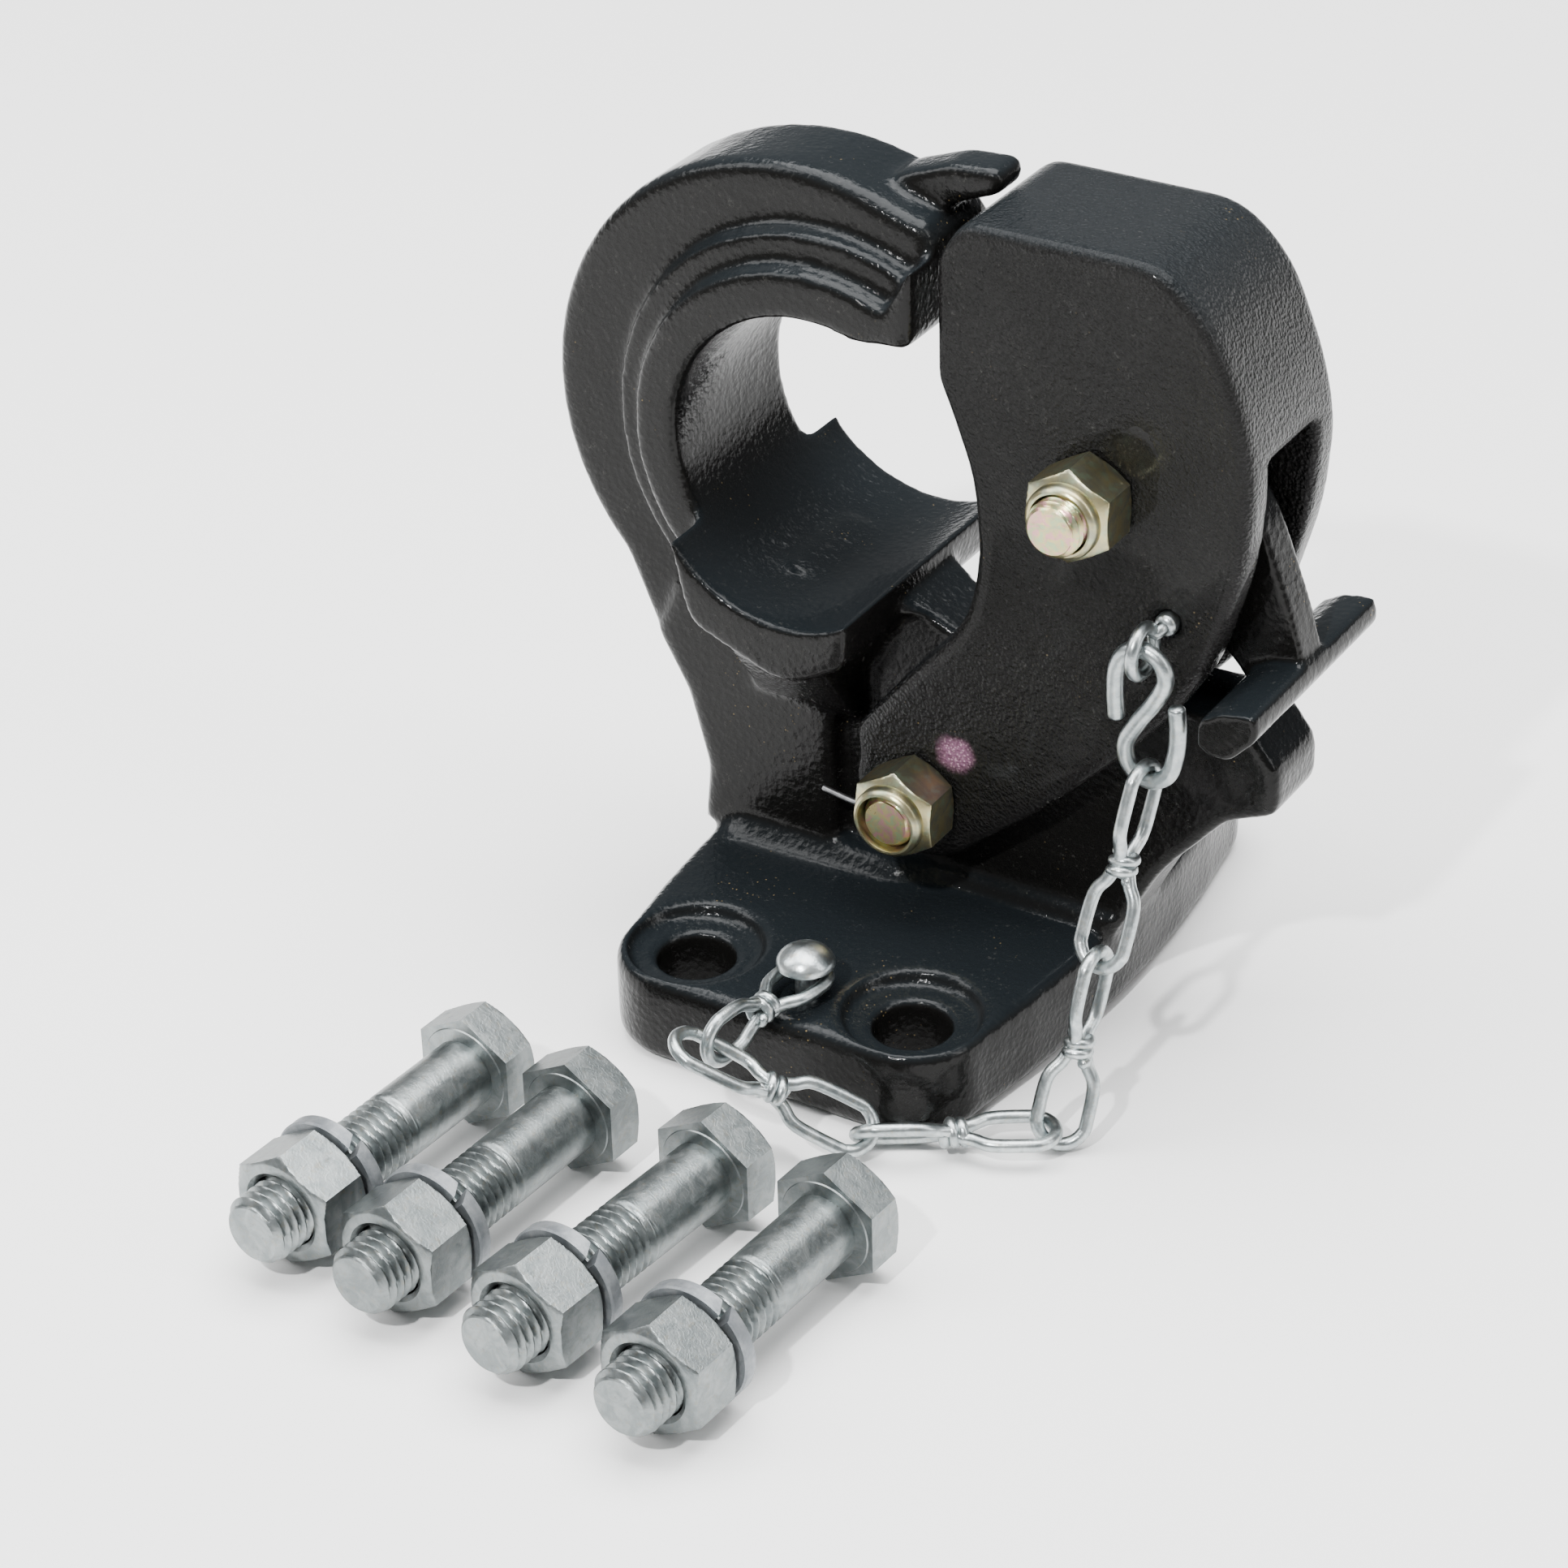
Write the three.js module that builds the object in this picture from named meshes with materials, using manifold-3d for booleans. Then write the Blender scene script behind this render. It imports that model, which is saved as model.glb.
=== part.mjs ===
// A heavy forged pintle hook for towing: a C-shaped hook on a four-hole mounting plate, a cast latch
// that closes its throat, a lock handle that props the latch shut against an ear on the hook's neck,
// a lock pin on a safety chain, and the four loose bolt sets that fasten the plate to a vehicle.
//
// Millimetres, +Z up. The plate stands on its mounting face at Z = 0, and the origin is that face's
// centre. The hook is symmetric about Y = 0. The latch is on the +X side of the throat.

import * as THREE from 'three';
import { mergeVertices } from 'three/addons/utils/BufferGeometryUtils.js';
import Module from 'manifold-3d';

const wasm = await Module();
wasm.setup();

// ---- driving dimensions ----
const fit = 0.3;                       // gap kept between touching pieces
const plate = { thick: 22, halfX: 51.5, holeX: 28, holeY: 60, lobe: 18, bore: 8.75, faceR: 15.5, faceDepth: 3.5 };
const rivet = { x: 4, y: -65, shank: 2.5, head: 6.6, seat: 7 };
const throat = { x: -19, z: 127, r: 34 };
const horn = { x: -28, z: 128.5, r: 63, half: 13, ringHalf: 23, ringR: 45, stepHalf: 18, stepR: 52 };
const tip = { x: 7.5, low: 160 };
const neck = { half: 15, tongueHalf: 10.5, left: -56 };
const saddle = { half: 36, left: -47, right: -3 };
const ear = { left: 62, right: 90, low: 58, top: 84 };
const latchPivot = { x: 7, z: 50 };
const handlePivot = { x: 50, z: 136 };
const latchBody = { half: 20.5, inner: 11.3, boss: 17 };
const pivotBolt = { r: 6.35, headH: 8, nutFlat: 19.05, nutH: 11.5, collarH: 3.4, collarR: 8.4 };
const handle = { hub: 9.5, armHalf: 5, footHalf: 30 };
const lockPin = { x: 68, z: 110, r: 2.6, eyeR: 5.2, wire: 1.5 };
const chain = { wire: 1.5, loopHalf: 5.4, knotR: 3.6, knotLong: 7 };
const bolt = { r: 7.94, long: 70, thread: 46, flat: 23.8, headH: 10, nutH: 13.9, washerR: 13.6, washerH: 4 };

// ---- finishes ----
function finish(color, roughness, metalness) {
  return new THREE.MeshStandardMaterial({ color, roughness, metalness });
}
const blackPaint = finish(0x121312, 0.25, 0.0);
const castPaint = finish(0x151615, 0.4, 0.0);
const yellowZinc = finish(0xc4b486, 0.3, 1.0);
const brightZinc = finish(0xa9b0b2, 0.28, 1.0);
const dullZinc = finish(0x8d9296, 0.55, 0.8);
const springSteel = finish(0x6d7073, 0.4, 1.0);

// ---- geometry helpers ----
function solid(geometry) {
  const plain = geometry.clone();
  plain.deleteAttribute('normal');
  plain.deleteAttribute('uv');
  const merged = mergeVertices(plain, 1e-4);
  return new wasm.Manifold(new wasm.Mesh({
    numProp: 3,
    vertProperties: new Float32Array(merged.attributes.position.array),
    triVerts: new Uint32Array(merged.index.array),
  }));
}

function geometryOf(body) {
  const found = body.getMesh();
  const geometry = new THREE.BufferGeometry();
  geometry.setAttribute('position', new THREE.BufferAttribute(new Float32Array(found.vertProperties), 3));
  geometry.setIndex(new THREE.BufferAttribute(new Uint32Array(found.triVerts), 1));
  geometry.computeVertexNormals();
  return geometry;
}

const join = (...bodies) => bodies.reduce((all, body) => all.add(body));
const cut = (body, ...tools) => tools.reduce((left, tool) => left.subtract(tool), body);

// a closed outline through points; each is [x, y] or [x, y, radius] where the corner is rounded,
// by at most a little under half of the shorter side beside it
function outline(points) {
  const shape = new THREE.Shape();
  const corners = points.map(([x, y]) => new THREE.Vector2(x, y));
  points.forEach(([, , radius = 0], i) => {
    const here = corners[i];
    const before = corners[(i + points.length - 1) % points.length];
    const after = corners[(i + 1) % points.length];
    const ease = Math.min(radius, 0.45 * here.distanceTo(before), 0.45 * here.distanceTo(after));
    const towards = (other) => here.clone().add(other.clone().sub(here).setLength(ease));
    const start = ease ? towards(before) : here;
    if (i === 0) {
      shape.moveTo(start.x, start.y);
    } else {
      shape.lineTo(start.x, start.y);
    }
    if (ease) shape.quadraticCurveTo(here.x, here.y, towards(after).x, towards(after).y);
  });
  shape.closePath();
  return shape;
}

// points along an arc about (cx, cy), from one angle to another in degrees
function arc(cx, cy, r, from, to, steps) {
  return Array.from({ length: steps + 1 }, (_, i) => {
    const a = THREE.MathUtils.degToRad(from + ((to - from) * i) / steps);
    return [cx + r * Math.cos(a), cy + r * Math.sin(a)];
  });
}

// an outline in X and Z, made into a slab from y0 to y1 with its edges eased by bevel
function slab(shape, y0, y1, bevel = 0, curveSegments = 4) {
  const geometry = new THREE.ExtrudeGeometry(shape, {
    depth: y1 - y0 - 2 * bevel,
    bevelEnabled: bevel > 0,
    bevelThickness: bevel,
    bevelSize: bevel,
    bevelOffset: -bevel,
    bevelSegments: 1,
    curveSegments,
  });
  geometry.rotateX(Math.PI / 2);
  return geometry.translate(0, y1 - bevel, 0);
}

// a round bar along Y
function barY(x, z, r, y0, y1, sides = 24) {
  const geometry = new THREE.CylinderGeometry(r, r, y1 - y0, sides);
  return geometry.translate(x, (y0 + y1) / 2, z);
}

// a hexagonal prism along Y, given across its flats
function hexY(x, z, flat, y0, y1) {
  const geometry = new THREE.CylinderGeometry(flat / Math.sqrt(3), flat / Math.sqrt(3), y1 - y0, 6);
  return geometry.translate(x, (y0 + y1) / 2, z);
}

// a round wire along a curve
function wireAlong(curve, r, steps, sides = 8) {
  const ring = new THREE.Shape();
  for (let i = 0; i < sides; i += 1) {
    const a = (i / sides) * 2 * Math.PI;
    if (i === 0) {
      ring.moveTo(r, 0);
    } else {
      ring.lineTo(r * Math.cos(a), r * Math.sin(a));
    }
  }
  return new THREE.ExtrudeGeometry(ring, { steps, extrudePath: curve, bevelEnabled: false });
}

const parts = new THREE.Group();
function place(name, geometry, material, into = parts) {
  const mesh = new THREE.Mesh(geometry, material);
  mesh.name = name;
  into.add(mesh);
  return mesh;
}

// ---- hook body: plate, neck, horn, ring round the throat, saddle and catch ear ----
function mountingPlate() {
  const { halfX, holeX, holeY, lobe, thick, bore, faceR, faceDepth } = plate;
  const shape = new THREE.Shape();
  const turn = Math.PI / 2;
  shape.moveTo(holeX + lobe, -holeY);
  shape.quadraticCurveTo(2 * halfX - holeX - lobe, 0, holeX + lobe, holeY);
  shape.absarc(holeX, holeY, lobe, 0, turn);
  shape.absarc(-holeX, holeY, lobe, turn, 2 * turn);
  shape.quadraticCurveTo(holeX + lobe - 2 * halfX, 0, -holeX - lobe, -holeY);
  shape.absarc(-holeX, -holeY, lobe, 2 * turn, 3 * turn);
  shape.absarc(holeX, -holeY, lobe, 3 * turn, 4 * turn);
  const ease = 2;
  const slabOfPlate = new THREE.ExtrudeGeometry(shape, {
    depth: thick - 2 * ease,
    bevelThickness: ease,
    bevelSize: ease,
    bevelOffset: -ease,
    bevelSegments: 1,
    curveSegments: 7,
  });
  let body = solid(slabOfPlate.translate(0, 0, ease));
  for (const x of [-holeX, holeX]) {
    for (const y of [-holeY, holeY]) {
      const through = new THREE.CylinderGeometry(bore, bore, 3 * thick, 24).rotateX(Math.PI / 2);
      const seat = new THREE.CylinderGeometry(faceR, faceR, thick, 28).rotateX(Math.PI / 2);
      body = cut(body, solid(through.translate(x, y, 0)));
      body = cut(body, solid(seat.translate(x, y, thick * 1.5 - faceDepth)));
    }
  }
  const rivetHole = new THREE.CylinderGeometry(rivet.shank + fit, rivet.shank + fit, 12, 16).rotateX(Math.PI / 2);
  return cut(body, solid(rivetHole.translate(rivet.x, rivet.y, thick)));
}

// the horn's side outline, from the foot of the neck round the outside to the flat tip and back
function hookOutline() {
  const outside = arc(horn.x, horn.z, horn.r, 222, 66, 22);
  const inside = arc(throat.x, throat.z, throat.r, 76, 292, 22);
  return outline([
    [neck.left, plate.thick - 1], [-55, 36], [-60, 55, 5], [-67, 68, 5],
    ...outside, [tip.x - 3, 184], [tip.x, 180], [tip.x, tip.low, 3],
    ...inside, [4, 90], [18, 84], [30, 78], [52, 78], [ear.left + 1, ear.top, 2],
    [ear.right - 9, ear.top + 1, 2], [ear.right, ear.top - 10, 2], [ear.right, ear.low + 5, 2],
    [78, ear.low, 2], [62, 40, 6], [52, plate.thick - 1],
  ]);
}

function throatRing(radius, half) {
  const outside = arc(throat.x, throat.z, radius, 248, 64, 20);
  const inside = arc(throat.x, throat.z, throat.r, 70, 248, 20);
  const flatTip = [[tip.x, tip.low + 20, 3], [tip.x, tip.low, 3]];
  const ring = solid(slab(outline([...outside, ...flatTip, ...inside]), -half, half));
  const within = arc(horn.x, horn.z, horn.r - 1.5, 0, 352, 44);
  return ring.intersect(solid(slab(outline(within), -half - 1, half + 1)));
}

function saddleShelf() {
  const top = arc(throat.x, throat.z, throat.r, 300, 214, 12);
  const shelf = outline([
    [saddle.right, 86, 3], ...top, [saddle.left, 106, 3], [saddle.left + 4, 88, 5], [-18, 78, 6],
  ]);
  return solid(slab(shelf, -saddle.half, saddle.half));
}

function saddleRib() {
  const side = outline([
    [14, 60], [saddle.half - 4, 84], [saddle.half - 6, 92],
    [6 - saddle.half, 92], [4 - saddle.half, 84], [-14, 60],
  ]);
  const rib = new THREE.ExtrudeGeometry(side, { depth: 26, bevelEnabled: false });
  rib.rotateX(Math.PI / 2);
  rib.rotateZ(Math.PI / 2);
  return solid(rib.translate(-38, 0, 0));
}

// the fillet where the neck meets the plate, wide under the thick neck and narrow under the tongue
function neckFoot() {
  const spread = 5;
  const foot = outline([
    [-46, -15, 3], [-4, -15, 3], [12, -8.5, 3], [47, -8.5, 1],
    [47, 8.5, 1], [12, 8.5, 3], [-4, 15, 3], [-46, 15, 3],
  ]);
  const geometry = new THREE.ExtrudeGeometry(foot, {
    depth: 1,
    bevelThickness: spread,
    bevelSize: spread,
    bevelSegments: 1,
    curveSegments: 2,
  });
  return solid(geometry.translate(0, 0, plate.thick - 1));
}

function hookBody() {
  const web = solid(slab(hookOutline(), -horn.half, horn.half, 2));
  const neckBlock = outline([
    [neck.left + 1, plate.thick - 1], [-53, 36], [-58, 55], [-66, 69], [-60, 84], [-30, 96], [-8, 88],
    [-9, plate.thick - 1],
  ]);
  const thickNeck = solid(slab(neckBlock, -neck.half, neck.half, 1.5));
  const lugSide = outline([[-4, 180], [tip.x, 186], [18, 190, 2], [18, 195.5, 3], [6, 195, 2], [-8, 190]]);
  const lug = solid(slab(lugSide, -3, 9, 1));
  const pivotBore = solid(barY(latchPivot.x, latchPivot.z, pivotBolt.r + fit, -60, 60));
  // the latch's cheeks swing beside the neck, so the neck is thinned to a tongue where they pass
  const swept = outline([
    [-18, plate.thick + 4], [-19, 62, 8], [-6, 84, 4], [-2, 90, 3], [120, 90], [120, plate.thick + 4],
  ]);
  const sides = [-1, 1].map((side) => {
    const [y0, y1] = [side * neck.tongueHalf, side * 60].sort((a, b) => a - b);
    return solid(slab(swept, y0, y1));
  });
  const narrowWeb = cut(join(web, thickNeck), ...sides);
  return cut(
    join(
      mountingPlate(), narrowWeb, neckFoot(), throatRing(horn.stepR, horn.stepHalf),
      throatRing(horn.ringR, horn.ringHalf), saddleShelf(), saddleRib(), lug,
    ),
    pivotBore,
    latchClearance(),
  );
}

// ---- latch: two cheeks joined by a bridge over the top and down the outside ----
function latchOutline(grow = 0) {
  const boss = arc(latchPivot.x, latchPivot.z, latchBody.boss + grow, 305, 160, 9);
  const g = grow;
  return outline([
    [12 - g, 154], [12 - g, 182, 4], [18 - g, 191 + g, 4], [64, 191 + g, 12], [76 + g, 180, 9], [84 + g, 160, 8],
    [87 + g, 146, 8], [85.5 + g, 126, 10], [78 + g, 101 - g, 10], [70 + g, 88 - g, 5], [58, 74 - g, 6],
    [40, 56 - g, 6], ...boss, [-10 - g, 62, 3], [4 - g, 80, 8], [19 - g, 97, 10], [22 - g, 114, 6],
    [20.5 - g, 132, 6], [15 - g, 147, 5],
  ]);
}

function latchHollow() {
  return outline([
    [110, 148], [77, 148, 4], [73, 160, 6], [66, 172, 6], [56, 180, 5], [32, 180, 5], [25, 172, 4],
    [25, 146, 2], [-40, 140], [-40, 10], [110, 10],
  ]);
}

function latchClearance() {
  return solid(slab(latchOutline(1.2), -latchBody.half - 1, -neck.tongueHalf));
}

function latch() {
  const whole = solid(slab(latchOutline(), -latchBody.half, latchBody.half, 1.5));
  const hollow = solid(slab(latchHollow(), -latchBody.inner, latchBody.inner));
  const bores = [latchPivot, handlePivot].map(({ x, z }) => solid(barY(x, z, pivotBolt.r + fit, -60, 60)));
  const pinBore = solid(barY(lockPin.x, lockPin.z, lockPin.r + fit, -60, 0, 12));
  return cut(whole, hollow, ...bores, pinBore);
}

// ---- lock handle: hub, arm and the cross bar that props the latch on the ear ----
function lockHandle() {
  const hub = solid(barY(handlePivot.x, handlePivot.z, handle.hub, -handle.armHalf - 1, handle.armHalf + 1));
  const arm = solid(slab(outline([
    [52, 147, 3], [72, 143, 8], [81, 132, 8], [90, 108, 8], [93, 97, 2], [82, 89, 2], [75, 97, 4],
    [66, 106, 2], [70, 111, 2], [66, 114, 2], [60, 109, 2], [44, 128, 5],
  ]), -handle.armHalf, handle.armHalf));
  const foot = solid(slab(outline([
    [80.5, 95, 1], [80, 89, 1], [83, 86.5, 1], [88, 87, 1], [94.5, 94, 2], [93, 99, 1], [86, 98, 1],
  ]), -handle.footHalf, handle.footHalf));
  const bore = solid(barY(handlePivot.x, handlePivot.z, pivotBolt.r + fit, -20, 20));
  return cut(join(hub, arm, foot), bore);
}

// ---- pivot bolts and their lock nuts ----
function throughBolt({ x, z }, end) {
  const shank = solid(barY(x, z, pivotBolt.r, end, latchBody.half + 1));
  const face = latchBody.half + fit;
  const head = solid(hexY(x, z, pivotBolt.nutFlat, face, face + pivotBolt.headH));
  return join(shank, head);
}

function lockNut({ x, z }) {
  const face = -latchBody.half - fit;
  const back = face - pivotBolt.nutH;
  const nut = solid(hexY(x, z, pivotBolt.nutFlat, back, face));
  const collar = solid(barY(x, z, pivotBolt.collarR, back - pivotBolt.collarH, back + 1));
  return cut(join(nut, collar), solid(barY(x, z, pivotBolt.r + fit, -60, 0)));
}

// ---- springs ----
function coil({ x, z }, r, wire, turns, y0, y1) {
  const points = [];
  const steps = turns * 8;
  for (let i = 0; i <= steps; i += 1) {
    const a = (i / 8) * 2 * Math.PI;
    points.push(new THREE.Vector3(x + r * Math.cos(a), y0 + ((y1 - y0) * i) / steps, z + r * Math.sin(a)));
  }
  return wireAlong(new THREE.CatmullRomCurve3(points), wire, steps, 6);
}

// the leg of the latch's spring, beside the lower nut
function springLeg() {
  const leg = new THREE.CatmullRomCurve3([
    new THREE.Vector3(-17, -21.6, 45), new THREE.Vector3(-10, -21.8, 44), new THREE.Vector3(-3.5, -22, 43.5),
  ]);
  return wireAlong(leg, 0.7, 4, 6);
}

// ---- lock pin with its wire eye, and the S-hook ----
const eye = new THREE.Vector3(65, -27.5, 107);
function pinWithEye() {
  const shank = solid(barY(lockPin.x, lockPin.z, lockPin.r, -25, -6, 12));
  const ring = new THREE.TorusGeometry(lockPin.eyeR, lockPin.wire, 8, 18);
  ring.rotateY(Math.PI / 2);
  const head = solid(ring.translate(eye.x + 1.5, eye.y - 1, eye.z));
  const neckWire = wireAlong(new THREE.LineCurve3(
    new THREE.Vector3(lockPin.x, -22, lockPin.z), new THREE.Vector3(eye.x + 1.5, -25, eye.z + 1.5),
  ), lockPin.wire, 2, 8);
  return join(shank, head, solid(neckWire));
}

const hookPlane = -28.5;
function sHook() {
  const at = (x, z) => new THREE.Vector3(x, hookPlane, z);
  const curve = new THREE.CatmullRomCurve3([
    at(60.6, 90), at(60.2, 96), at(60.6, 102), at(62.8, 106), at(66.6, 107.3), at(70.6, 105.4), at(72, 101),
    at(69.6, 95.5), at(66, 90), at(63, 84), at(64, 78.6), at(68.5, 76), at(73, 78.4), at(74.8, 84),
    at(75.2, 90), at(74.8, 95),
  ]);
  return wireAlong(curve, 1.9, 34, 8);
}

// ---- safety chain: wire links, each with a loop at both ends of a knot ----
// each link runs from the middle of its first end's wire to that of its second; its two loops are
// turned about it by the angles in turns, in degrees from level
const links = [
  { from: [68.1, -31.8, 71.1], to: [66.5, -47.4, 38.6], turns: [90, 0] },
  { from: [66.7, -45.9, 41.8], to: [66, -64, 2.2], turns: [90, -32] },
  { from: [66, -64, 5.7], to: [29.3, -87, 6], turns: [0, 45] },
  { from: [32.4, -85.5, 5.5], to: [-6.3, -102.2, 28], turns: [-45, 0] },
  { from: [-1, -98, 24.5], to: [4.8, -60.8, 26.5], turns: [90, 0] },
];

function loopOf(from, along, side, length) {
  const end = from.clone().addScaledVector(along, length - chain.loopHalf);
  const points = [from.clone().addScaledVector(side, 1.4)];
  for (let i = 0; i <= 6; i += 1) {
    const a = (i / 6) * Math.PI;
    points.push(end.clone()
      .addScaledVector(side, chain.loopHalf * Math.cos(a))
      .addScaledVector(along, chain.loopHalf * Math.sin(a)));
  }
  points.push(from.clone().addScaledVector(side, -1.4));
  return wireAlong(new THREE.CatmullRomCurve3(points, false, 'centripetal'), chain.wire, 18, 6);
}

function chainLink({ from, to, turns }) {
  const start = new THREE.Vector3(...from);
  const end = new THREE.Vector3(...to);
  const along = end.clone().sub(start).normalize();
  const level = new THREE.Vector3().crossVectors(along, new THREE.Vector3(0, 0, 1)).normalize();
  const half = start.distanceTo(end) / 2;
  const middle = start.clone().add(end).multiplyScalar(0.5);
  const sideAt = (turn) => level.clone().applyAxisAngle(along, THREE.MathUtils.degToRad(turn));
  const knot = new THREE.CylinderGeometry(chain.knotR, chain.knotR, chain.knotLong, 10);
  knot.applyQuaternion(new THREE.Quaternion().setFromUnitVectors(new THREE.Vector3(0, 1, 0), along));
  knot.translate(middle.x, middle.y, middle.z);
  return join(
    solid(knot),
    solid(loopOf(middle, along.clone().negate(), sideAt(turns[0]), half)),
    solid(loopOf(middle, along, sideAt(turns[1]), half)),
  );
}

function domeRivet() {
  const base = plate.thick - 5;
  const seat = plate.thick + rivet.seat;
  const profile = [
    [0, base], [rivet.shank, base], [rivet.shank, seat], [rivet.head, seat], [rivet.head - 0.4, seat + 2],
    [4.4, seat + 3.8], [2.2, seat + 4.7], [0, seat + 5],
  ];
  const dome = new THREE.LatheGeometry(profile.map(([r, z]) => new THREE.Vector2(r, z)), 20);
  dome.rotateX(Math.PI / 2);
  return dome.translate(rivet.x, rivet.y, 0);
}

// ---- loose bolt sets, lying on the ground in front of the plate ----
// each set's thread tip, and how far it is turned from square to the plate
const sets = [
  { x: -56, y: -188, turn: 4 },
  { x: -27, y: -191, turn: 4 },
  { x: 7, y: -194, turn: 6 },
  { x: 41, y: -197, turn: 4 },
];

// in a set's own frame the bolt lies along +Y from its thread tip at the origin
function mountingBolt() {
  const chamfer = 1.6;
  const shank = new THREE.LatheGeometry([
    [0, 0], [bolt.r - chamfer, 0], [bolt.r - 0.2, chamfer], [bolt.r - 0.2, bolt.thread], [bolt.r, bolt.thread + 1],
    [bolt.r, bolt.long + 1], [0, bolt.long + 1],
  ].map(([r, y]) => new THREE.Vector2(r, y)), 24);
  return join(solid(shank), solid(hexY(0, 0, bolt.flat, bolt.long, bolt.long + bolt.headH)));
}

function mountingNut(from) {
  const nut = solid(hexY(0, 0, bolt.flat, from, from + bolt.nutH));
  return cut(nut, solid(barY(0, 0, bolt.r + fit, -10, 60)));
}

// the washer's cut ends stand a little apart
function lockWasher(from) {
  const ring = solid(barY(0, 0, bolt.washerR, from, from + bolt.washerH, 28));
  const split = new THREE.BoxGeometry(1.6, 3 * bolt.washerH, bolt.washerR).rotateY(0.6);
  split.rotateZ(0.35);
  split.translate(6.5, from + bolt.washerH / 2, 9.5);
  return cut(ring, solid(barY(0, 0, bolt.r + fit, -10, 60)), solid(split));
}

// ---- the whole object ----
place('hook_body', geometryOf(hookBody()), blackPaint);
place('latch', geometryOf(latch()), castPaint);
place('lock_handle', geometryOf(lockHandle()), blackPaint);
place('latch_pivot_bolt', geometryOf(throughBolt(latchPivot, -35)), yellowZinc);
place('latch_pivot_nut', geometryOf(lockNut(latchPivot)), yellowZinc);
place('handle_pivot_bolt', geometryOf(throughBolt(handlePivot, -39.5)), yellowZinc);
place('handle_pivot_nut', geometryOf(lockNut(handlePivot)), yellowZinc);
place('handle_spring', coil(handlePivot, 8.2, 0.8, 2, -10.2, -7.2), springSteel);
place('latch_spring', springLeg(), springSteel);
place('lock_pin', geometryOf(pinWithEye()), brightZinc);
place('s_hook', sHook(), brightZinc);
links.forEach((link, i) => place(`chain_link_${i + 1}`, geometryOf(chainLink(link)), brightZinc));
place('chain_rivet', domeRivet(), brightZinc);
sets.forEach(({ x, y, turn }, i) => {
  const set = new THREE.Group();
  set.position.set(x, y, bolt.washerR + 0.2);
  set.rotation.z = THREE.MathUtils.degToRad(-turn);
  const nutFrom = 9;
  place(`mounting_bolt_${i + 1}`, geometryOf(mountingBolt()), brightZinc, set);
  place(`mounting_nut_${i + 1}`, geometryOf(mountingNut(nutFrom)), brightZinc, set);
  place(`lock_washer_${i + 1}`, geometryOf(lockWasher(nutFrom + bolt.nutH + fit)), dullZinc, set);
  parts.add(set);
});

export default parts;
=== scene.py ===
from math import cos, pi, radians, sin, tan, tau

import bpy
from mathutils import Matrix, Quaternion, Vector


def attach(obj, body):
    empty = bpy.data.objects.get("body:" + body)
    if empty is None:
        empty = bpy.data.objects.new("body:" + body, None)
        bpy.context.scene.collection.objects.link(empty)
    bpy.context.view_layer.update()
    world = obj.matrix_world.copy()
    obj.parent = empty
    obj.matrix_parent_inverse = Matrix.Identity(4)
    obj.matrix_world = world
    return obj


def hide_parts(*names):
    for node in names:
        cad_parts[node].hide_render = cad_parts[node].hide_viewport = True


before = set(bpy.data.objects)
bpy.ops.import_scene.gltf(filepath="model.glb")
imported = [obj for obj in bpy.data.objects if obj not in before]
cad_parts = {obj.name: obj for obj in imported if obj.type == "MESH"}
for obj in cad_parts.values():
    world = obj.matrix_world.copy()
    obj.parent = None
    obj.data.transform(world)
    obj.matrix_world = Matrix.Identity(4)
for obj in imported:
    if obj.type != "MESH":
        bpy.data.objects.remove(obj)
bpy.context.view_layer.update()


# ---- hook body ----
# The drop-forged hook with its plate, horn, saddle and catch ear, in one piece of steel.
# Forging leaves soft edges and a faintly wavy skin; it is dipped in thick gloss black paint, with
# dust and a few golden scuffs on it. The spot faces round the bolt holes are milled, then painted.
class Socket:
    """One output in a material's node tree. Arithmetic on it adds Math nodes."""

    def __init__(self, finish, out):
        self.finish = finish
        self.out = out

    def maths(self, operation, *others):
        settings = {"operation": operation}
        inputs = {i: value for i, value in enumerate((self, *others))}
        return self.finish.add("Math", settings, inputs)

    def __add__(self, other):
        return self.maths("ADD", other)

    def __radd__(self, other):
        return self.maths("ADD", other)

    def __mul__(self, other):
        return self.maths("MULTIPLY", other)

    def __rmul__(self, other):
        return self.maths("MULTIPLY", other)

    def __sub__(self, other):
        return self.maths("SUBTRACT", other)

    def __rsub__(self, other):
        return (self * -1.0).maths("ADD", other)

    def ramp(self, low, high):
        """Runs smoothly from 0 at low to 1 at high."""
        inputs = {"Value": self, "From Min": low, "From Max": high}
        return self.finish.add("MapRange", {"interpolation_type": "SMOOTHSTEP"}, inputs)


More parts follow.
